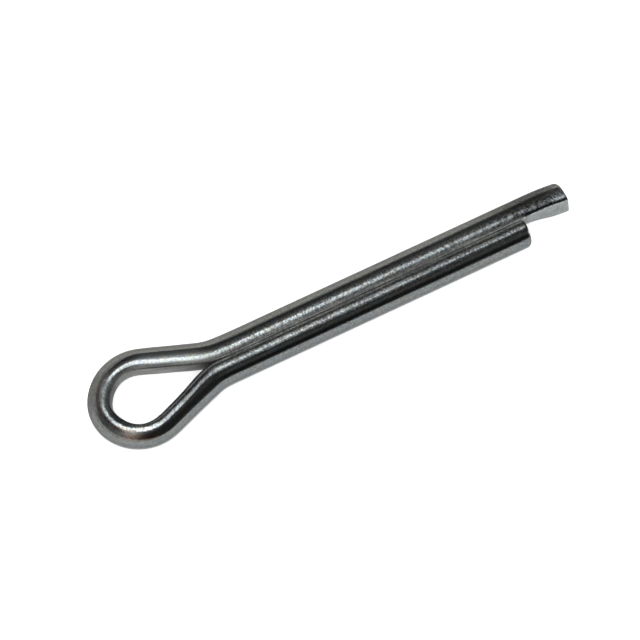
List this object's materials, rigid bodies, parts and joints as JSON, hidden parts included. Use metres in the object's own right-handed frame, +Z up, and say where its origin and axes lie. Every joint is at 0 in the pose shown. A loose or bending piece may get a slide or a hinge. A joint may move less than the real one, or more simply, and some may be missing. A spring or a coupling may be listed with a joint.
{
  "type": "cotter pin",
  "caption": "Split cotter pin of half-round wire with a teardrop eye and uneven legs, put through a cross hole and spread to lock a pin or nut.",
  "frame": {"origin": "bottom centre of the bounding box: the pin lies on the plane Z = 0 with its eye level", "axes": "+X along the legs from the eye to the tips, +Y to the side of the longer leg, +Z up, square to the plane in which the wire is folded"},
  "size_m": [0.0382, 0.0072, 0.0034],
  "materials": {
    "zinc_plated_steel": "bright zinc plate on drawn half-round steel wire, finely mottled, with faint drawing lines along it"
  },
  "bodies": {
    "root": {"cotter_pin": "zinc_plated_steel"}
  },
  "joints": []
}
